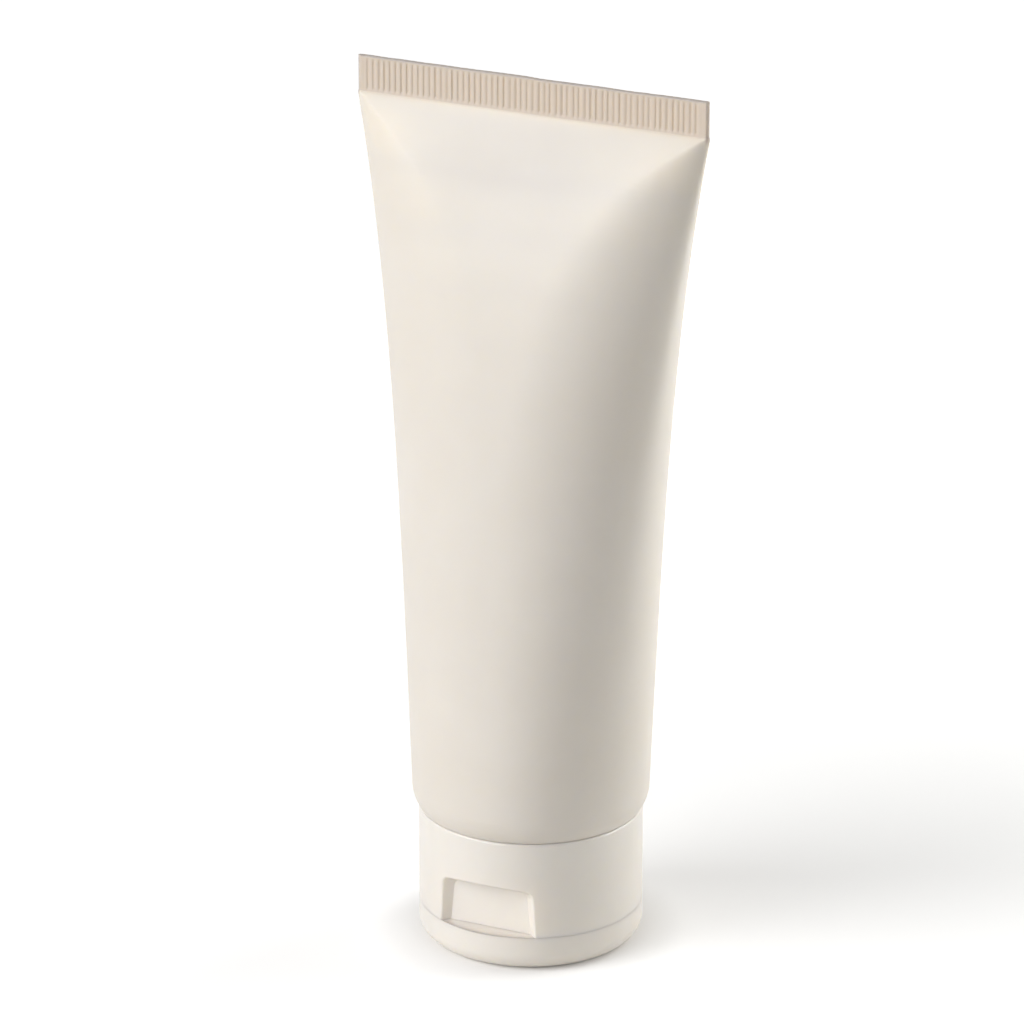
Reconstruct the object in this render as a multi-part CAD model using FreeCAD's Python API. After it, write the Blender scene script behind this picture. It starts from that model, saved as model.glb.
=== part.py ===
import FreeCAD, Part
import math
import os

# A squeeze tube of balm with a flip-top cap, standing on its lid.
# X runs along the crimped seal, the thumb recess faces -Y, the hinge is at +Y,
# and Z rises from the centre of the lid's flat end. All sizes are in mm.

# Sleeve: an extruded plastic tube, pressed flat and welded at the top
tube_radius = 20.0
tube_wall = 0.5
sleeve_length = 126.5
corner_radius = 6.0
cap_step = 1.1
seal_height = 6.1
seal_stretch = 1.01
jaw_step = 0.05
weld_depth = 1.0
width_share = 0.6014
width_power = 3.38
depth_share = 0.4101
depth_power = 5.75
flat_share = 0.06
flat_power = 6.8
fold_weight = 0.35
fold_power = 3.0
loft_stations = (0.06, 0.14, 0.24, 0.36, 0.48, 0.6, 0.7, 0.79, 0.86, 0.91, 0.95, 0.98, 1.0)
round_side_angle = math.radians(0.3)
round_weight = math.sqrt(0.5)

# Crimp: upright grooves pressed into both faces of the seal
rib_pitch = 1.03
groove_width = 0.56
groove_floor = 0.24
groove_depth = 0.16
rib_end_margin = 0.8
rib_top_margin = 0.5
rib_foot_margin = 0.25

# Head: a moulded shoulder and neck, welded inside the sleeve's lower edge
head_wall = 1.2
spigot_drop = 0.7
shoulder_drop = 3.0
neck_radius = 9.6
neck_wall = 1.4
neck_deck_gap = 1.95
bead_height = 1.2
bead_proud = 0.45
bead_from_end = 2.4

# Cap base: outer skirt, deck, nozzle, a collar round the neck and a plug inside it
cap_height = 23.3
cap_wall = 1.3
cap_rim_round = 0.4
deck_thickness = 1.5
collar_wall = 1.3
collar_clear = 1.6
plug_wall = 1.0
plug_length = 5.2
nozzle_radius = 4.0
nozzle_length = 2.8
orifice_radius = 2.25
register_wall = 1.1
register_height = 1.0

# Thumb recess in the front of the cap base, open at the bottom onto the lid
recess_depth = 3.3
recess_height = 8.9
recess_half_foot = 8.75
recess_half_top = 8.0
recess_top_slope = 1.4
recess_side_slope = 1.2
recess_corner = 1.6
recess_edge_round = 0.45

# Lid and the film hinge at its back
lid_height = 6.2
lid_face = 1.5
lid_edge_radius = 3.0
lid_inner_round = 1.6
lip_thickness = 1.2
pin_reach = 1.6
pin_dome = 0.7
hinge_width = 9.0
hinge_film = 0.32
hinge_reach = 1.4
hinge_groove = 0.12
hinge_side_gap = 0.3

# Contents
headspace = 27.0

# Clearances
seam_gap = 0.05
seat_gap = 0.1
weld_gap = 0.05
fit_gap = 0.25
neck_gap = 0.15
pin_gap = 0.2
fill_gap = 0.1

# Heights and radii that follow
cap_radius = tube_radius - cap_step
skirt_radius = cap_radius - cap_wall
wall_middle = cap_radius - cap_wall / 2
sleeve_foot = cap_height + seat_gap
foot_radius = cap_radius - seat_gap
corner_centre = tube_radius - corner_radius
corner_rise = math.sqrt(corner_radius ** 2 - (foot_radius - corner_centre) ** 2)
round_top = sleeve_foot + corner_rise
seal_top = sleeve_foot + sleeve_length
seal_foot = seal_top - seal_height
body_half_width = tube_wall + math.pi / 2 * (tube_radius - tube_wall) * seal_stretch
seal_half_width = body_half_width - jaw_step
welded_depth = tube_wall + jaw_step
base_foot = lid_height + seam_gap
deck_top = base_foot + deck_thickness
nozzle_foot = base_foot - nozzle_length
recess_floor = cap_radius - recess_depth
recess_back = recess_floor - cap_wall
spigot_radius = skirt_radius - fit_gap
spigot_foot = sleeve_foot - spigot_drop
neck_top = spigot_foot - shoulder_drop
neck_foot = deck_top + neck_deck_gap
bore_radius = neck_radius - neck_wall
plug_radius = bore_radius - neck_gap
plug_top = neck_foot + plug_length
dish_radius = spigot_radius - head_wall / 2
dish_foot = spigot_foot + head_wall
shoulder_slope = shoulder_drop / (spigot_radius - neck_radius)
bore_top = dish_foot - shoulder_slope * (dish_radius - bore_radius)
hinge_seat = cap_radius - hinge_film
fold_height = lid_height + seam_gap / 2
overcut = 1.0
touch = 0.02

point = FreeCAD.Vector
origin = point(0, 0, 0)
upright = point(0, 0, 1)


def turned(path):
    """Solid turned about Z from a closed path of (radius, height) points.

    A third entry (centre_radius, centre_height) makes the run to that point an arc about it.
    """
    edges = []
    for start, end in zip(path, path[1:] + path[:1]):
        first = point(start[0], 0, start[1])
        last = point(end[0], 0, end[1])
        if len(end) == 3:
            centre = point(end[2][0], 0, end[2][1])
            bulge = (first - centre) + (last - centre)
            middle = centre + bulge.normalize() * first.distanceToPoint(centre)
            edges.append(Part.Arc(first, middle, last).toShape())
        else:
            edges.append(Part.makeLine(first, last))
    return Part.Face(Part.Wire(edges)).revolve(origin, upright, 360)


def block(x_half, y_low, y_high, z_low, z_high):
    size = (2 * x_half, y_high - y_low, z_high - z_low)
    return Part.makeBox(*size, point(-x_half, y_low, z_low))


def prism(outline, z_low, z_high):
    """Upright prism on a closed list of (x, y) points."""
    corners = [point(x, y, z_low) for x, y in outline]
    face = Part.Face(Part.makePolygon(corners + corners[:1]))
    return face.extrude(upright * (z_high - z_low))


def conic(start, corner, end, weight):
    """Edge of one conic arc, pulled towards its corner pole by the weight."""
    curve = Part.BSplineCurve()
    curve.buildFromPolesMultsKnots([start, corner, end], [3, 3], [0, 1], False, 2, [1, weight, 1])
    return curve.toShape()


def round_section(radius, z):
    """Full circle in six edges, the front and back ones short, to match a pressed section."""
    half = math.pi / 2
    turns = [-half + round_side_angle, 0, half - round_side_angle]
    turns += [turn + math.pi for turn in turns]
    edges = []
    for start, end in zip(turns, turns[1:] + [turns[0] + 2 * math.pi]):
        weight = math.cos((end - start) / 2)
        reaches = (radius, radius / weight, radius)
        spots = [point(reach * math.cos(turn), reach * math.sin(turn), z)
                 for reach, turn in zip(reaches, (start, (start + end) / 2, end))]
        edges.append(conic(*spots, weight))
    return Part.Wire(edges)


def pressed_section(half_width, half_depth, half_flat, z, weight):
    """Pressed tube section: two straight sides and two ends, each of two conic arcs.

    The weight shapes the ends: 0.707 gives half ovals, and less gives flatter flanks.
    """
    edges = []
    for side in (1, -1):
        near = point(side * half_flat, -side * half_depth, z)
        far = point(side * half_flat, side * half_depth, z)
        tip = point(side * half_width, 0, z)
        edges.append(conic(near, point(tip.x, near.y, z), tip, weight))
        edges.append(conic(tip, point(tip.x, far.y, z), far, weight))
        edges.append(Part.makeLine(far, point(-far.x, far.y, z)))
    return Part.Wire(edges)


def pressed(z, share, power):
    """Progress from the round end (0) to the seal (1): partly straight, the rest by a power."""
    rise = (z - round_top) / (seal_foot - round_top)
    return share * rise + (1 - share) * rise ** power


def sleeve_body(inset, z_low, z_high):
    """Loft of the sleeve's form from its round end up to z_high, moved in by inset."""
    radius = tube_radius - inset
    wires = [round_section(radius, z_low)]
    for share in loft_stations:
        z = z_low + share * (z_high - z_low)
        widening = (body_half_width - tube_radius) * pressed(z, width_share, width_power)
        thinning = (tube_radius - welded_depth) * pressed(z, depth_share, depth_power)
        half_flat = (body_half_width - welded_depth) * pressed(z, flat_share, flat_power)
        weight = round_weight - (round_weight - fold_weight) * pressed(z, 0, fold_power)
        wires.append(pressed_section(radius + widening, radius - thinning, half_flat, z, weight))
    return Part.makeLoft(wires, True, False)


def sleeve_corner(inset, z_low):
    """The sleeve's turned-in lower corner, a round solid moved in by inset."""
    radius = corner_radius - inset
    low_radius = corner_centre + math.sqrt(radius ** 2 - (round_top - z_low) ** 2)
    centre = (corner_centre, round_top)
    return turned([
        (0, z_low), (low_radius, z_low), (tube_radius - inset, round_top, centre), (0, round_top),
    ])


def crimped_seal():
    """The welded end, with grooves in both faces between plain margins."""
    end_radius = tube_wall
    half_flat = seal_half_width - end_radius
    outline = Part.Face(pressed_section(seal_half_width, end_radius, half_flat, seal_foot, fold_weight))
    seal = outline.extrude(upright * seal_height)
    half_run = half_flat - rib_end_margin
    count = int(2 * half_run / rib_pitch)
    z_low = seal_foot + rib_foot_margin
    z_high = seal_top - rib_top_margin
    lead = (groove_width - groove_floor) / 2
    grooves = []
    for index in range(count):
        x = (index - (count - 1) / 2) * rib_pitch
        for side in (-1, 1):
            face = side * end_radius
            floor = side * (end_radius - groove_depth)
            beyond = side * (end_radius + groove_depth)
            half_mouth = groove_width / 2 + lead
            grooves.append(prism([
                (x - half_mouth, beyond), (x - groove_width / 2, face), (x - groove_floor / 2, floor),
                (x + groove_floor / 2, floor), (x + groove_width / 2, face), (x + half_mouth, beyond),
            ], z_low, z_high))
    return seal.cut(Part.makeCompound(grooves))


def tube_sleeve():
    """Thin shell from the turned-in lower edge to the crimped seal, one extruded piece."""
    outer = sleeve_corner(0, sleeve_foot).fuse(sleeve_body(0, round_top, seal_foot))
    cavity = sleeve_corner(tube_wall, sleeve_foot - seat_gap)
    cavity = cavity.fuse(sleeve_body(tube_wall, round_top, seal_foot - weld_depth))
    return outer.cut(cavity).fuse(crimped_seal())


def tube_head():
    """Shoulder and neck: the cap snaps over the bead near the neck's end."""
    outer_radius = tube_radius - tube_wall - weld_gap
    inner_radius = outer_radius - head_wall
    corner = corner_radius - tube_wall - weld_gap
    seat_radius = corner_centre + math.sqrt(corner ** 2 - corner_rise ** 2)
    bead_foot = neck_foot + bead_from_end
    return turned([
        (outer_radius, round_top, (corner_centre, round_top)),
        (inner_radius, round_top),
        (inner_radius, sleeve_foot + head_wall),
        (dish_radius, dish_foot),
        (bore_radius, bore_top),
        (bore_radius, neck_foot),
        (neck_radius, neck_foot),
        (neck_radius, bead_foot),
        (neck_radius + bead_proud, bead_foot + bead_height / 2),
        (neck_radius, bead_foot + bead_height),
        (neck_radius, neck_top),
        (spigot_radius, spigot_foot),
        (spigot_radius, sleeve_foot),
        (seat_radius, sleeve_foot),
    ])


def recess_cutter():
    """The thumb recess as a solid: a flat floor with walls that spread outwards."""
    side_edge = math.sqrt(cap_radius ** 2 - recess_half_foot ** 2)
    taper = (recess_half_foot - recess_half_top) / recess_height

    def outline(depth_left):
        y = recess_floor + depth_left
        spread = recess_side_slope * (y - side_edge)
        half_foot = recess_half_foot + taper * overcut + spread
        half_top = recess_half_top + spread
        foot = base_foot - overcut
        top = base_foot + recess_height - recess_top_slope * (1 - depth_left / recess_depth)
        corners = [point(-half_foot, -y, foot), point(half_foot, -y, foot),
                   point(half_top, -y, top), point(-half_top, -y, top)]
        return Part.makePolygon(corners + corners[:1])

    def is_upper_corner(edge):
        first, last = edge.Vertexes
        return abs(first.Y - last.Y) > recess_depth and min(first.Z, last.Z) > base_foot

    cutter = Part.makeLoft([outline(0), outline(recess_depth + overcut)], True, True)
    return cutter.makeFillet(recess_corner, [edge for edge in cutter.Edges if is_upper_corner(edge)])


def opens_recess(edge):
    """True for an edge where a recess wall meets the cap's outer surface."""
    spots = edge.discretize(5)
    highest = max(spot.z for spot in spots)
    on_surface = all(abs(math.hypot(spot.x, spot.y) - cap_radius) < touch for spot in spots)
    in_recess = base_foot + touch < highest < base_foot + recess_height + touch
    return on_surface and in_recess and edge.CenterOfMass.y < -recess_back


def hinge_pocket(z_low, z_high):
    """Room cut in the cap's back for the film and its side gaps."""
    return block(hinge_width / 2 + hinge_side_gap, hinge_seat, cap_radius + overcut, z_low, z_high)


def hinge_pad(z_low, z_high):
    """Flat pad that the film's inner face is moulded to."""
    return block(hinge_width / 2, skirt_radius, hinge_seat, z_low, z_high)


def cap_base():
    """Moulded base of the cap: skirt, deck, nozzle, snap collar, plug and thumb recess."""
    collar_inner = neck_radius + neck_gap
    collar_outer = collar_inner + bead_proud + collar_wall
    collar_top = neck_top - collar_clear
    bead_middle = neck_foot + bead_from_end + bead_height / 2
    groove_half = bead_height / 2 + neck_gap
    rim = cap_radius - cap_rim_round
    register_outer = skirt_radius - fit_gap
    register_foot = base_foot - register_height
    base = turned([
        (orifice_radius, nozzle_foot),
        (nozzle_radius, nozzle_foot),
        (nozzle_radius, base_foot),
        (register_outer - register_wall, base_foot),
        (register_outer - register_wall, register_foot),
        (register_outer, register_foot),
        (register_outer, base_foot),
        (cap_radius, base_foot),
        (cap_radius, cap_height - cap_rim_round),
        (rim, cap_height, (rim, cap_height - cap_rim_round)),
        (skirt_radius, cap_height),
        (skirt_radius, deck_top),
        (collar_outer, deck_top),
        (collar_outer, collar_top),
        (collar_inner, collar_top),
        (collar_inner, bead_middle + groove_half),
        (collar_inner + bead_proud, bead_middle),
        (collar_inner, bead_middle - groove_half),
        (collar_inner, deck_top),
        (plug_radius, deck_top),
        (plug_radius, plug_top),
        (plug_radius - plug_wall, plug_top),
        (plug_radius - plug_wall, deck_top),
        (orifice_radius, deck_top),
    ])
    wall_top = base_foot + recess_height + cap_wall
    back_wall = block(skirt_radius, -cap_radius, -recess_back, base_foot, wall_top)
    back_wall = back_wall.common(Part.makeCylinder(wall_middle, cap_height))
    lip_room = block(cap_radius, -skirt_radius, -recess_back + fit_gap, register_foot, base_foot)
    base = base.fuse(back_wall).cut([recess_cutter(), lip_room])
    z_high = base_foot + hinge_reach
    base = base.cut(hinge_pocket(base_foot, z_high)).fuse(hinge_pad(base_foot, z_high))
    base = base.removeSplitter()
    return base.makeFillet(recess_edge_round, [edge for edge in base.Edges if opens_recess(edge)])


def cap_lid():
    """Flip lid: a shallow dish with the sealing pin and the lip that the thumb pushes."""
    edge_centre = cap_radius - lid_edge_radius
    inner_centre = skirt_radius - lid_inner_round
    pin_radius = orifice_radius - pin_gap
    pin_top = nozzle_foot + pin_reach
    lid = turned([
        (0, 0),
        (edge_centre, 0),
        (cap_radius, lid_edge_radius, (edge_centre, lid_edge_radius)),
        (cap_radius, lid_height),
        (skirt_radius, lid_height),
        (skirt_radius, lid_face + lid_inner_round),
        (inner_centre, lid_face, (inner_centre, lid_face + lid_inner_round)),
        (pin_radius, lid_face),
        (pin_radius, pin_top - pin_dome),
        (pin_radius - pin_dome, pin_top, (pin_radius - pin_dome, pin_top - pin_dome)),
        (0, pin_top),
    ])
    lip = block(skirt_radius, -cap_radius, -recess_back, lid_height - lip_thickness, lid_height)
    lid = lid.fuse(lip.common(Part.makeCylinder(wall_middle, lid_height)))
    z_low = lid_height - hinge_reach
    lid = lid.cut(hinge_pocket(z_low, lid_height)).fuse(hinge_pad(z_low, lid_height))
    return lid.removeSplitter()


def living_hinge():
    """The thin film that joins lid and base, with a groove where it folds."""
    half_mouth = 2 * hinge_groove
    outline = [
        (hinge_seat, lid_height - hinge_reach), (cap_radius, lid_height - hinge_reach),
        (cap_radius, fold_height - half_mouth), (cap_radius - hinge_groove, fold_height),
        (cap_radius, fold_height + half_mouth), (cap_radius, base_foot + hinge_reach),
        (hinge_seat, base_foot + hinge_reach),
    ]
    corners = [point(-hinge_width / 2, y, z) for y, z in outline]
    return Part.Face(Part.makePolygon(corners + corners[:1])).extrude(point(hinge_width, 0, 0))


def balm_fill():
    """The balm, from the cap's deck up through the neck to its level in the sleeve."""
    outer_radius = tube_radius - tube_wall - weld_gap - head_wall - fill_gap
    low = turned([
        (0, deck_top + fill_gap),
        (plug_radius - plug_wall - fill_gap, deck_top + fill_gap),
        (plug_radius - plug_wall - fill_gap, plug_top + fill_gap),
        (bore_radius - fill_gap, plug_top + fill_gap),
        (bore_radius - fill_gap, bore_top + fill_gap),
        (dish_radius - fill_gap, dish_foot + fill_gap),
        (outer_radius, sleeve_foot + head_wall + fill_gap),
        (outer_radius, round_top + fill_gap),
        (0, round_top + fill_gap),
    ])
    high = sleeve_body(tube_wall + fill_gap, round_top + fill_gap, seal_foot - headspace)
    return low.fuse(high)


def main():
    os.makedirs("parts", exist_ok=True)
    pieces = (tube_sleeve, tube_head, balm_fill, cap_base, cap_lid, living_hinge)
    for piece in pieces:
        shape = piece()
        shape.exportStep("parts/" + piece.__name__ + ".step")
        print(piece.__name__, "solids", len(shape.Solids), "cubic mm", round(shape.Volume))


main()
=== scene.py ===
import math

import bpy
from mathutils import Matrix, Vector


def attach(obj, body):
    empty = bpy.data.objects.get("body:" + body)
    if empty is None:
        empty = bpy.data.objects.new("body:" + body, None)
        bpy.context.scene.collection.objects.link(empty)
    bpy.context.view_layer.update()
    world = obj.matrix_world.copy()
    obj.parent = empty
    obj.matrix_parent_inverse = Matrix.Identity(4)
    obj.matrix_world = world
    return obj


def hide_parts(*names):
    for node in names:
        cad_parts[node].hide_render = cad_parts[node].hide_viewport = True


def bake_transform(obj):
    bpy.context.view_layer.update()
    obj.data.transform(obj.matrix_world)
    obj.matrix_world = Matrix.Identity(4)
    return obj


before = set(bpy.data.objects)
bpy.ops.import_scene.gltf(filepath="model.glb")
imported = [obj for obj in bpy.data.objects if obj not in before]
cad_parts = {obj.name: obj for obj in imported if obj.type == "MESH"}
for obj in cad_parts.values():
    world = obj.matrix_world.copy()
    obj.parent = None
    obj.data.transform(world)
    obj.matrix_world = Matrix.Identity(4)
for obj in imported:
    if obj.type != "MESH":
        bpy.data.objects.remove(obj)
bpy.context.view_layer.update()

# The sleeve: one extruded tube of soft polyethylene, half a millimetre thick, round at the cap and
# pressed flat at the top, where heated jaws weld it and leave upright ribs on both faces.
# Its lower edge is turned in and welded to the head, and the faces dent a little between the two.
TUBE_RADIUS = 0.020
TUBE_WALL = 0.0005
CORNER_RADIUS = 0.006
SLEEVE_FOOT = 0.0234
CORNER_TOP = 0.0270
SEAL_FOOT = 0.1438
SEAL_TOP = 0.1499
SEAL_HALF_WIDTH = 0.03134
BODY_COLOUR = (0.84, 0.752, 0.652, 1)
BODY_SECOND = (0.825, 0.735, 0.632, 1)
# The seal's tan below is partly the pressed plastic's own tone and partly painted shade of its ribs.
SEAL_TONE_AND_SHADE = (0.62, 0.535, 0.46, 1)
# The grey below is painted shade on the seal's folded ends, where they turn from the light, and is also
# laid on the cut top edge.
EDGE_GREY_AND_SHADE = (0.50, 0.45, 0.43, 1)


class Wire:
    """An output socket in a node tree. Sums on it add Math nodes, and add() adds any other node."""

    def __init__(self, tree, socket=None):
        self.tree = tree
        self.socket = socket

    def add(self, kind, settings=None, inputs=None, output=0):
        node = self.tree.nodes.new(kind)
        for name, value in (settings or {}).items():
            setattr(node, name, value)
        for name, value in (inputs or {}).items():
            if isinstance(value, Wire):
                self.tree.links.new(value.socket, node.inputs[name])
            else:
                node.inputs[name].default_value = value
        return Wire(self.tree, node.outputs[output])

    def other(self, output):
        """Another output of the same node."""
        return Wire(self.tree, self.socket.node.outputs[output])

    def math(self, operation, *values):
        return self.add("ShaderNodeMath", {"operation": operation}, dict(enumerate(values)))

    def mix(self, share, first, second):
        """Blend of two colours."""
        return self.add("ShaderNodeMix", {"data_type": "RGBA"}, {0: share, 6: first, 7: second}, 2)

    def __add__(self, other):
        return self.math("ADD", self, other)

    __radd__ = __add__

    def __sub__(self, other):
        return self.math("SUBTRACT", self, other)

    def __rsub__(self, other):
        return self.math("SUBTRACT", other, self)

    def __mul__(self, other):
        return self.math("MULTIPLY", self, other)

    __rmul__ = __mul__

    def __truediv__(self, other):
        return self.math("DIVIDE", self, other)

    def __rtruediv__(self, other):
        return self.math("DIVIDE", other, self)

    def __pow__(self, other):
        return self.math("POWER", self, other)

    def __abs__(self):
        return self.math("ABSOLUTE", self)

    def least(self, other):
        return self.math("MINIMUM", self, other)

    def most(self, other):
        return self.math("MAXIMUM", self, other)

    def between(self, low, high):
        return self.math("MINIMUM", self.math("MAXIMUM", self, low), high)

    def ease(self, low, high):
        """0 below low, 1 above high and a smooth step between."""
        share = ((self - low) / (high - low)).between(0.0, 1.0)
        return share * share * (3.0 - 2.0 * share)


def sleeve_tree():
    """Geometry Nodes that wrap sheets round the sleeve's sections, band by band, and weld them."""
    tree = bpy.data.node_groups.new("Squeeze tube sleeve", "GeometryNodeTree")
    sizes = {
        "Tube radius": TUBE_RADIUS,
        "Wall": TUBE_WALL,
        "Corner radius": CORNER_RADIUS,
        "Sleeve foot": SLEEVE_FOOT,
        "Corner top": CORNER_TOP,
        "Seal foot": SEAL_FOOT,
        "Seal top": SEAL_TOP,
        "Seal half width": SEAL_HALF_WIDTH,
        "Jaw step": 0.00005,
        "Width share": 0.6014,
        "Width power": 3.38,
        "Depth share": 0.4101,
        "Depth power": 5.75,
        "Flat share": 0.06,
        "Flat power": 6.8,
        "Round weight": math.sqrt(0.5),
        "Fold weight": 0.35,
        "Fold power": 3.0,
        "Dip": 0.00035,
        "Dip reach": 0.006,
        "Rib pitch": 0.00103,
        "Groove half mouth": 0.00030,
        "Groove half floor": 0.00010,
        "Groove depth": 0.00016,
        "Plain end": 0.0013,
        "Plain top": 0.0005,
        "Plain foot": 0.00025,
        "Shoulder rise": 0.00016,
        "Shoulder reach": 0.0003,
        "Row power": 1.7,
        "Dent": 0.012,
        "Edge round": 0.00012,
        "Edge wave": 0.00016,
    }
    for name, value in sizes.items():
        socket = tree.interface.new_socket(name, in_out="INPUT", socket_type="NodeSocketFloat")
        socket.default_value = value
    counts = {"Columns": 738, "Body rows": 66, "Seal rows": 15, "Seed": 7}
    for name, value in counts.items():
        socket = tree.interface.new_socket(name, in_out="INPUT", socket_type="NodeSocketInt")
        socket.default_value = value
    tree.interface.new_socket("Plastic", in_out="INPUT", socket_type="NodeSocketMaterial")
    tree.interface.new_socket("Sleeve", in_out="OUTPUT", socket_type="NodeSocketGeometry")
    build = Wire(tree)
    given = build.add("NodeGroupInput")
    radius, wall, corner = (given.other(n) for n in ("Tube radius", "Wall", "Corner radius"))
    foot, corner_top = given.other("Sleeve foot"), given.other("Corner top")
    seal_foot, seal_top = given.other("Seal foot"), given.other("Seal top")
    half_width, jaw_step = given.other("Seal half width"), given.other("Jaw step")
    round_weight, fold_weight = given.other("Round weight"), given.other("Fold weight")
    place = build.add("GeometryNodeInputPosition")
    spot = build.add("ShaderNodeSeparateXYZ", None, {0: place})
    around = spot
    up = spot.other("Y") + 0.5

    def joined(x, y, z):
        return build.add("ShaderNodeCombineXYZ", None, {0: x, 1: y, 2: z})

    def wrapped(side, width, depth, weight):
        """A point of a pressed section: two straight sides, and two ends of conic arcs.

        The weight shapes the ends: 0.707 gives half ovals, and less gives flatter flanks.
        """
        lean = ((3.0 * width + depth) * (width + 3.0 * depth)) ** 0.5
        quarter = (3.0 * (width + depth) - lean) * (math.pi / 4)
        run = abs(around) * 4.0 * (side + quarter)
        past = ((run - side) / quarter).between(0.0, 2.0) - 1.0
        turn = 1.0 - abs(past)
        straight, bent, tip = (1.0 - turn) ** 2.0, 2.0 * weight * turn * (1.0 - turn), turn * turn
        whole = straight + bent + tip
        reach = run.least(side) + width * (bent + tip) / whole
        reach = reach - (run - side - 2.0 * quarter).most(0.0)
        height = depth * (straight + bent) / whole
        return reach * build.math("SIGN", around), height * build.math("SIGN", past)

    def band(rows, x, y, z):
        counted = {"Vertices X": given.other("Columns") + 1, "Vertices Y": rows}
        sheet = build.add("GeometryNodeMeshGrid", None, {"Size X": 1.0, "Size Y": 1.0, **counted})
        moved = {"Geometry": sheet, "Position": joined(x, y, z)}
        return build.add("GeometryNodeSetPosition", None, moved)

    def pressed(share, law):
        """Progress from the round end (0) to the seal (1): partly straight, the rest by a power."""
        straight = given.other(law + " share")
        return straight * share + (1.0 - straight) * share ** given.other(law + " power")

    def body(inset, rise):
        """The body's section at a height: half its straight side, and its ends' size and weight."""
        share = ((rise - corner_top) / (seal_foot - corner_top)).between(0.0, 1.0)
        side = (half_width - wall) * pressed(share, "Flat")
        width = radius + (half_width + jaw_step - radius) * pressed(share, "Width") - inset - side
        depth = radius - (radius - wall - jaw_step) * pressed(share, "Depth") - inset
        weight = round_weight - (round_weight - fold_weight) * share ** given.other("Fold power")
        return share, side, width, depth, weight

    # the turned-in corner, from the head up to where the tube is full width
    low_turn = build.math("ARCSINE", (corner_top - foot) / corner)
    turn = low_turn * (1.0 - up)
    corner_reach = radius - corner + corner * build.math("COSINE", turn)
    corner_height = corner_top - corner * build.math("SINE", turn)
    outer_corner = band(8, *wrapped(0.0, corner_reach, corner_reach, round_weight), corner_height)
    # the body, flatter as it rises, with a small roll of plastic squeezed out below the seal,
    # where the jaws also draw the middle of each face in a little
    rise = seal_foot - (seal_foot - corner_top) * (1.0 - up).most(0.0) ** given.other("Row power")
    share, side, width, depth, weight = body(0.0, rise)
    roll = 1.0 - build.math("EXPONENT", (rise - seal_foot) / given.other("Shoulder reach"))
    roll = roll * given.other("Shoulder rise") * ((share - 0.5) * 2.0).between(0.0, 1.0)
    x, y = wrapped(side, width + roll, depth + roll, weight)
    dents = build.add(
        "ShaderNodeTexNoise",
        None,
        {"Vector": joined(x, y, rise), "Scale": 34.0, "Detail": 1.0, "Roughness": 0.4},
    )
    dent = (dents - 0.35).most(0.0) * given.other("Dent") * share.ease(0.0, 0.2)
    drop = (seal_foot - rise) / given.other("Dip reach")
    dip = given.other("Dip") / depth * drop * build.math("EXPONENT", 1.0 - drop)
    dip = dip * (1.0 - abs(x).ease(0.006, 0.024))
    outer_body = band(given.other("Body rows"), x, y * (1.0 - dent - dip), rise)

    # the welded seal with its ribs
    def by_rib(number, low, high, seed):
        picked = {"Min": low, "Max": high, "ID": number, "Seed": given.other("Seed") + seed}
        return build.add("FunctionNodeRandomValue", {"data_type": "FLOAT"}, picked, 1)

    def rib_press(x, height):
        """How far the jaws press the seal's face in, as a share of its half thickness."""
        step = x / given.other("Rib pitch") + 0.5
        number = build.math("ROUND", step)
        off = abs(step - number + by_rib(number, -0.06, 0.06, 0)) * given.other("Rib pitch")
        groove = 1.0 - off.ease(given.other("Groove half floor"), given.other("Groove half mouth"))
        plain = half_width - given.other("Plain end")
        ends = 1.0 - abs(x).ease(plain, plain + 0.0002)
        low = (height - seal_foot - given.other("Plain foot")).ease(0.0, 0.0005)
        high = (seal_top - given.other("Plain top") - height).ease(-0.0003, 0.0004)
        strength = by_rib(number, 0.7, 1.1, 1) * given.other("Groove depth") / wall
        return groove * ends * low * high * strength

    def edge_drop(x):
        """How far the cut top edge wanders down from its highest line."""
        wander = build.add(
            "ShaderNodeTexNoise", {"noise_dimensions": "1D"}, {"W": x * 90.0, "Scale": 1.0, "Detail": 3.0}
        )
        return given.other("Edge wave") * wander.ease(0.25, 0.8)

    seal_side = half_width - wall
    edge_round = given.other("Edge round")
    step_in = jaw_step * (1.0 - (up * 14.0).between(0.0, 1.0))
    x, y = wrapped(seal_side, wall + step_in, wall + step_in, fold_weight)
    height = seal_foot + (seal_top - edge_round - edge_drop(x) - seal_foot) * up
    outer_seal = band(given.other("Seal rows"), x, y * (1.0 - rib_press(x, height)), height)
    edge_turn = up * (math.pi / 2)
    edge_half = wall - edge_round + edge_round * build.math("COSINE", edge_turn)
    x, y = wrapped(seal_side, edge_half, edge_half, fold_weight)
    height = seal_top - edge_drop(x) - edge_round + edge_round * build.math("SINE", edge_turn)
    top_edge = band(4, x, y, height)
    closing_half = (wall - edge_round) * (1.0 - up) + 0.0000001
    x, y = wrapped(seal_side, closing_half, closing_half, fold_weight)
    closing = band(2, x, y, seal_top - edge_drop(x))
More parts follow.
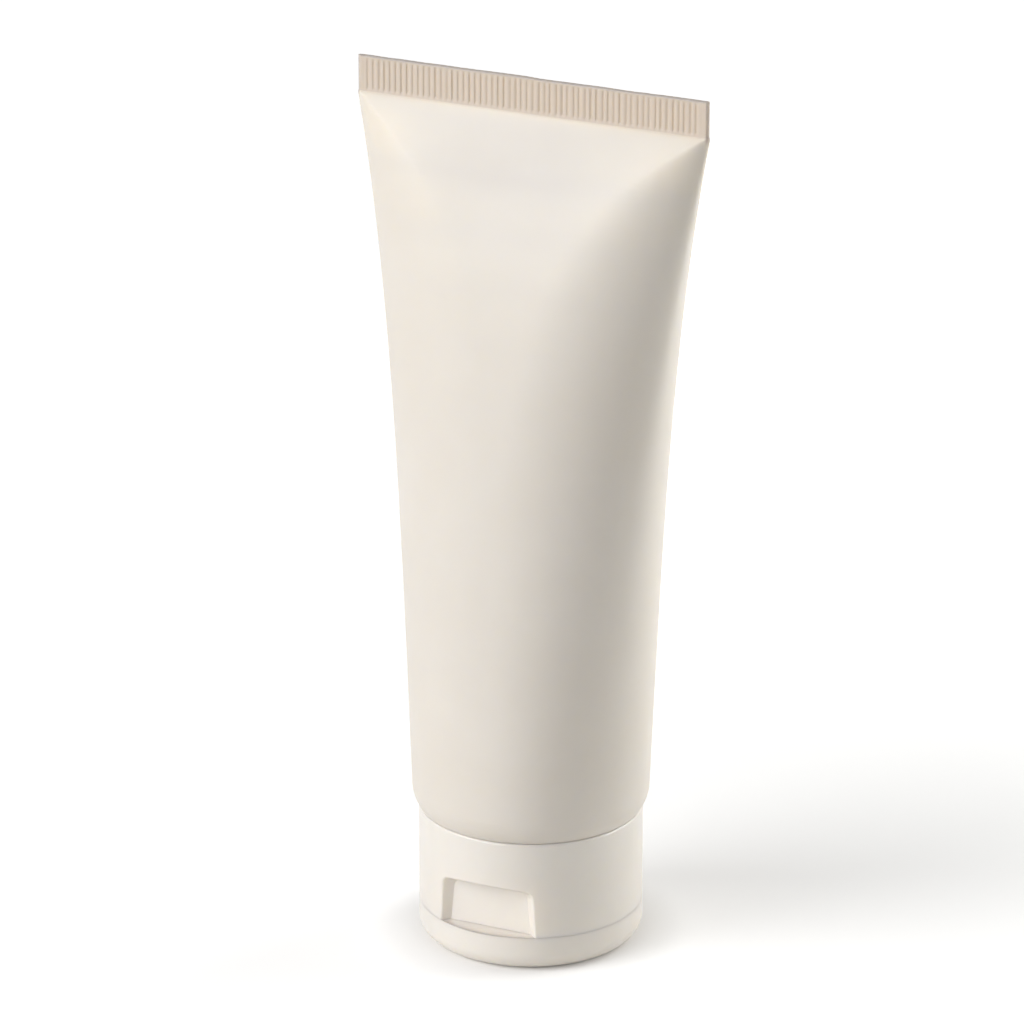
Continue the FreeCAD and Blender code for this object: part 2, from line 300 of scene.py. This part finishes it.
    # the inner wall, down to the rim that meets the head
    inner_rise = seal_foot - 0.001 - (seal_foot - 0.001 - corner_top) * up
    inner_section = body(wall, inner_rise)[1:]
    inner_body = band(14, *wrapped(*inner_section), inner_rise)
    inner_turn = low_turn * up
    inner_reach = radius - corner + (corner - wall) * build.math("COSINE", inner_turn)
    inner_height = corner_top - (corner - wall) * build.math("SINE", inner_turn)
    inner_corner = band(5, *wrapped(0.0, inner_reach, inner_reach, round_weight), inner_height)
    whole = build.add("GeometryNodeJoinGeometry")
    join = whole.socket.node
    for part in (outer_corner, outer_body, outer_seal, top_edge, closing, inner_body, inner_corner):
        tree.links.new(part.socket, join.inputs[0])
    whole = build.add("GeometryNodeMergeByDistance", None, {"Geometry": whole, "Distance": 0.000002})
    soft = build.math("LESS_THAN", build.add("GeometryNodeInputMeshEdgeAngle"), 0.7)
    whole = build.add(
        "GeometryNodeSetShadeSmooth", {"domain": "EDGE"}, {"Geometry": whole, "Shade Smooth": soft}
    )
    whole = build.add("GeometryNodeRealizeInstances", None, {"Geometry": whole})
    whole = build.add(
        "GeometryNodeSetMaterial", None, {"Geometry": whole, "Material": given.other("Plastic")}
    )
    last = tree.nodes.new("NodeGroupOutput")
    tree.links.new(whole.socket, last.inputs[0])
    return tree


def plastic(name, colour, second, roughness, grain, tint=None):
    """Moulded plastic: slow drift between two close colours, and a fine matt grain."""
    material = bpy.data.materials.new(name)
    material.use_nodes = True
    tree = material.node_tree
    shader = tree.nodes["Principled BSDF"]
    draw = Wire(tree)
    coords = draw.add("ShaderNodeTexCoord").other("Object")
    drift = draw.add("ShaderNodeTexNoise", None, {"Vector": coords, "Scale": 60.0, "Detail": 3.0})
    base = draw.mix(drift.ease(0.35, 0.65), colour, second)
    if tint:
        base = tint(draw, coords, base)
    fine = draw.add("ShaderNodeTexNoise", None, {"Vector": coords, "Scale": 4500.0, "Detail": 2.0})
    bump = draw.add(
        "ShaderNodeBump", None, {"Strength": grain, "Distance": 0.00002, "Height": fine}
    )
    tree.links.new(base.socket, shader.inputs["Base Color"])
    tree.links.new((roughness + 0.08 * (drift - 0.5)).socket, shader.inputs["Roughness"])
    tree.links.new(bump.socket, shader.inputs["Normal"])
    shader.inputs["Specular IOR Level"].default_value = 0.6
    shader.inputs["Subsurface Weight"].default_value = 0.35
    shader.inputs["Subsurface Radius"].default_value = (1.0, 0.8, 0.5)
    shader.inputs["Subsurface Scale"].default_value = 0.003
    return material


def seal_tone_and_rib_shade(draw, coords, base):
    """The pressed seal is drawn tanner than the body, partly its own tone and partly painted shade of its
    ribs; its cut edge is drawn greyer, and its folded ends get the same grey as painted shade.
    """
    place = draw.add("ShaderNodeSeparateXYZ", None, {0: coords})
    height = place.other("Z")
    mottle = draw.add("ShaderNodeTexNoise", None, {"Vector": coords, "Scale": 900.0, "Detail": 2.0})
    # the tanner seal: partly its own tone, partly painted shade of the ribs
    base = draw.mix(height.ease(SEAL_FOOT - 0.0001, SEAL_FOOT + 0.0002), base, SEAL_TONE_AND_SHADE)
    # a greyer cut top edge, and painted shade on the folded ends, reaching a little below the seal
    edge_grey_and_shade = height.ease(SEAL_TOP - 0.0004, SEAL_TOP - 0.0001)
    ends = abs(place).ease(SEAL_HALF_WIDTH - 0.0006, SEAL_HALF_WIDTH - 0.0002)
    edge_grey_and_shade = edge_grey_and_shade.most(ends * height.ease(SEAL_FOOT - 0.0015, SEAL_FOOT)) * (0.6 + 0.5 * mottle)
    return draw.mix(edge_grey_and_shade.least(1.0), base, EDGE_GREY_AND_SHADE)


sleeve_plastic = plastic("Sleeve plastic", BODY_COLOUR, BODY_SECOND, 0.42, 0.25, seal_tone_and_rib_shade)

tree = sleeve_tree()
maker = bpy.data.objects.new("sleeve_maker", bpy.data.meshes.new("sleeve_maker"))
bpy.context.scene.collection.objects.link(maker)
modifier = maker.modifiers.new("Sleeve", "NODES")
modifier.node_group = tree
sockets = {item.name: item.identifier for item in tree.interface.items_tree if item.in_out == "INPUT"}
modifier[sockets["Plastic"]] = sleeve_plastic
depsgraph = bpy.context.evaluated_depsgraph_get()
sleeve_mesh = bpy.data.meshes.new_from_object(maker.evaluated_get(depsgraph))
bpy.data.objects.remove(maker)
sleeve = bpy.data.objects.new("sleeve", sleeve_mesh)
bpy.context.scene.collection.objects.link(sleeve)
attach(sleeve, "tube")
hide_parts("tube_sleeve")

# The head: the moulded shoulder and neck inside the sleeve's lower end, of plain polyethylene.
head_plastic = plastic("Head plastic", (0.80, 0.77, 0.71, 1), (0.77, 0.74, 0.68, 1), 0.38, 0.2)
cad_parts["tube_head"].material_slots[0].material = head_plastic

# The balm: a soft wax ointment that fills the neck and most of the sleeve.
balm = plastic("Balm", (0.78, 0.68, 0.46, 1), (0.74, 0.64, 0.42, 1), 0.3, 0.4)
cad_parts["balm_fill"].material_slots[0].material = balm

# The cap's base: moulded in satin polypropylene, with a thumb recess in its front. It clips over
# the bead on the head's neck, and its plug seals the neck's bore.
CAP_COLOUR = (0.86, 0.80, 0.735, 1)
CAP_SECOND = (0.84, 0.778, 0.71, 1)
cap_plastic = plastic("Cap plastic", CAP_COLOUR, CAP_SECOND, 0.36, 0.2)
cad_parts["cap_base"].material_slots[0].material = cap_plastic

# The flip lid: one moulding with the base, with the sealing pin inside and the thumb lip in front.
# A low rim runs round its top face from one side of the hinge to the other, and shuts on the base.
LID_HEIGHT = 0.0062
RIM_HEIGHT = 0.00004
RIM_OUTER = 0.0189
RIM_INNER = 0.0183
RIM_BREAK = math.radians(15.5)
RIM_STEPS = 240
lid_plastic = plastic("Lid plastic", CAP_COLOUR, CAP_SECOND, 0.36, 0.2)
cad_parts["cap_lid"].material_slots[0].material = lid_plastic


def swept(name, rings):
    """Closed mesh object through rings of points, one ring per step, with a face at each end."""
    count = len(rings[0])
    points = [spot for ring in rings for spot in ring]
    faces = [tuple(range(count - 1, -1, -1)), tuple(len(points) - count + k for k in range(count))]
    for row in range(len(rings) - 1):
        for k in range(count):
            low, next_low = row * count + k, row * count + (k + 1) % count
            faces.append((low, next_low, next_low + count, low + count))
    mesh = bpy.data.meshes.new(name)
    mesh.from_pydata(points, [], faces)
    made = bpy.data.objects.new(name, mesh)
    bpy.context.scene.collection.objects.link(made)
    return made


rim_rings = []
for step in range(RIM_STEPS + 1):
    turn = RIM_BREAK + 2 * (math.pi - RIM_BREAK) * step / RIM_STEPS
    corners = ((RIM_OUTER, 0), (RIM_OUTER, RIM_HEIGHT), (RIM_INNER, RIM_HEIGHT), (RIM_INNER, 0))
    rim_rings.append([(r * math.sin(turn), r * math.cos(turn), LID_HEIGHT + z) for r, z in corners])
lid_rim = swept("lid_rim", rim_rings)
lid_rim.data.materials.append(lid_plastic)
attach(lid_rim, "lid")

# The hinge: a thin film of the same moulding, with a groove across its outside where it folds.
# It is moulded to a flat pad on the base and another on the lid.
FILM_INSIDE = 0.01858
FILM_OUTSIDE = 0.0189
FILM_HALF_WIDTH = 0.0045
FILM_LOW = 0.0048
FILM_HIGH = 0.00765
FILM_CHAMFER = 0.00006
FOLD_HEIGHT = 0.006225
FOLD_DEPTH = 0.00012
FOLD_REACH = 0.00024
FILM_ROWS = 96
film_rings = []
for row in range(FILM_ROWS + 1):
    height = FILM_LOW + (FILM_HIGH - FILM_LOW) * row / FILM_ROWS
    away = min(1.0, abs(height - FOLD_HEIGHT) / FOLD_REACH)
    groove = FOLD_DEPTH * 0.5 * (1 + math.cos(math.pi * away))
    end_cut = FILM_CHAMFER * (row in (0, FILM_ROWS))
    outside = FILM_OUTSIDE - groove - end_cut
    edge = FILM_HALF_WIDTH - FILM_CHAMFER
    outline = (
        (-FILM_HALF_WIDTH, FILM_INSIDE), (FILM_HALF_WIDTH, FILM_INSIDE),
        (FILM_HALF_WIDTH, outside - FILM_CHAMFER), (edge, outside),
        (-edge, outside), (-FILM_HALF_WIDTH, outside - FILM_CHAMFER),
    )
    film_rings.append([(x, y, height) for x, y in outline])
film_plastic = plastic("Film plastic", CAP_COLOUR, CAP_SECOND, 0.32, 0.15)
film = swept("hinge_film", film_rings)
film.data.materials.append(film_plastic)
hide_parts("living_hinge")
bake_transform(film)

# The floor: a plain pale sheet that runs far behind the tube. Its glow, met by seen rays alone, makes
# up what the lamps leave short of white. Close to the tube, within the contact reach, the glow also dims:
# this is painted shade, not a shadow from a lamp, and without it the floor left of the cap is white.
FLOOR_COLOUR = (0.78, 0.77, 0.74, 1)
FLOOR_SEEN_COLOUR = (0.95, 0.95, 0.95, 1)
FLOOR_HALF_SIZE = 4
GLOW_LOW = 0.12
GLOW_HIGH = 0.70
GLOW_CENTRE = (0.117, 0.085, 0)
GLOW_FALL = 0.32
CONTACT_SHADE_REACH = 0.009
CONTACT_SHADE_POWER = 1.8


def seen_rays(draw):
    """1 for rays from the camera, straight, mirrored or through glass, and 0 for the rest."""
    rays = draw.add("ShaderNodeLightPath")
    seen = draw.math("MAXIMUM", rays.other("Is Camera Ray"), rays.other("Is Glossy Ray"))
    return seen.most(rays.other("Is Transmission Ray"))


floor_mesh = bpy.data.meshes.new("floor")
floor_corners = [(-1, -1), (1, -1), (1, 1), (-1, 1)]
floor_corners = [(x * FLOOR_HALF_SIZE, y * FLOOR_HALF_SIZE, 0) for x, y in floor_corners]
floor_mesh.from_pydata(floor_corners, [], [(0, 1, 2, 3)])
floor = bpy.data.objects.new("floor", floor_mesh)
bpy.context.scene.collection.objects.link(floor)
paper = bpy.data.materials.new("Floor")
paper.use_nodes = True
draw = Wire(paper.node_tree)
shader = paper.node_tree.nodes["Principled BSDF"]
seen = seen_rays(draw)
place = draw.add("ShaderNodeTexCoord").other("Object")
ends = {0: place, 1: GLOW_CENTRE}
away = draw.add("ShaderNodeVectorMath", {"operation": "DISTANCE"}, ends, 1) / GLOW_FALL
level = GLOW_LOW + (GLOW_HIGH - GLOW_LOW) * away.least(1.0)
# painted contact shade: the glow dims where the tube stands close over the floor
open_air = draw.add("ShaderNodeAmbientOcclusion", {"samples": 8}, {"Distance": CONTACT_SHADE_REACH}, 1)
level = level * open_air ** CONTACT_SHADE_POWER
glow = draw.mix(level * seen, (0, 0, 0, 1), (1, 1, 1, 1))
paper.node_tree.links.new(glow.socket, shader.inputs["Emission Color"])
shader.inputs["Emission Strength"].default_value = 1.0
ground = draw.mix(seen, FLOOR_COLOUR, FLOOR_SEEN_COLOUR)
paper.node_tree.links.new(ground.socket, shader.inputs["Base Color"])
shader.inputs["Roughness"].default_value = 0.9
shader.inputs["Specular IOR Level"].default_value = 0.0
floor_mesh.materials.append(paper)

# The lamps: a large soft sun and a window on the left, a weaker sun in front, and two small panels
# low behind on the right that give the rim. The room round them is dark, and only seen as white.
BACKGROUND_LEVEL = 0.98


def lamp(name, kind, energy, colour, settings, azimuth, elevation, distance, aim_height):
    """Lamp of a kind, placed round a point on the tube's axis and turned towards it."""
    data = bpy.data.lights.new(name, kind)
    data.energy = energy
    data.color = colour
    for setting, value in settings.items():
        setattr(data, setting, value)
    turn, lift = math.radians(azimuth), math.radians(elevation)
    towards = Vector((math.sin(turn) * math.cos(lift), -math.cos(turn) * math.cos(lift), math.sin(lift)))
    holder = bpy.data.objects.new(name, data)
    holder.location = Vector((0, 0, aim_height)) + towards * distance
    holder.rotation_mode = "QUATERNION"
    holder.rotation_quaternion = towards.to_track_quat("Z", "Y")
    bpy.context.scene.collection.objects.link(holder)


soft_sun = {"angle": math.radians(36)}
lamp("Key", "SUN", 1.33, (1.0, 1.0, 1.0), soft_sun, -43, 34, 1.0, 0.07)
lamp("Front", "SUN", 0.80, (1.0, 1.0, 1.0), soft_sun, -6, 14, 1.0, 0.07)
lamp("Window", "AREA", 1.0, (1.0, 1.0, 1.0), {"size": 0.45}, -35, 20, 0.5, 0.07)
lamp("Back", "AREA", 0.66, (1.0, 1.0, 0.98), {"size": 0.25}, 140, 24.6, 0.385, 0.07)
lamp("Low back", "AREA", 0.40, (1.0, 1.0, 0.98), {"size": 0.12}, 120, 5.7, 0.301, 0.03)
world = bpy.data.worlds.new("Studio")
world.use_nodes = True
bpy.context.scene.world = world
air = Wire(world.node_tree)
back = world.node_tree.nodes["Background"]
world.node_tree.links.new((seen_rays(air) * BACKGROUND_LEVEL).socket, back.inputs["Strength"])
back.inputs["Color"].default_value = (1, 1, 1, 1)

# The camera: a long lens a metre away, in front of the tube, to its right and above it.
CAMERA_AZIMUTH = math.radians(25.64)
CAMERA_ELEVATION = math.radians(20.72)
CAMERA_DISTANCE = 1.0001
CAMERA_LENS = 212.54
CAMERA_SENSOR = 36.0
AIM_RIGHT = -0.00319
AIM_HEIGHT = 0.07506
camera_data = bpy.data.cameras.new("Camera")
camera_data.sensor_width = CAMERA_SENSOR
camera_data.lens = CAMERA_LENS
camera = bpy.data.objects.new("Camera", camera_data)
bpy.context.scene.collection.objects.link(camera)
towards_camera = Vector((
    math.sin(CAMERA_AZIMUTH) * math.cos(CAMERA_ELEVATION),
    -math.cos(CAMERA_AZIMUTH) * math.cos(CAMERA_ELEVATION),
    math.sin(CAMERA_ELEVATION),
))
rightwards = Vector((math.cos(CAMERA_AZIMUTH), math.sin(CAMERA_AZIMUTH), 0))
aim = rightwards * AIM_RIGHT + Vector((0, 0, AIM_HEIGHT))
camera.location = aim + towards_camera * CAMERA_DISTANCE
camera.rotation_mode = "QUATERNION"
camera.rotation_quaternion = towards_camera.to_track_quat("Z", "Y")
bpy.context.scene.camera = camera
bpy.context.scene.view_settings.view_transform = "Standard"
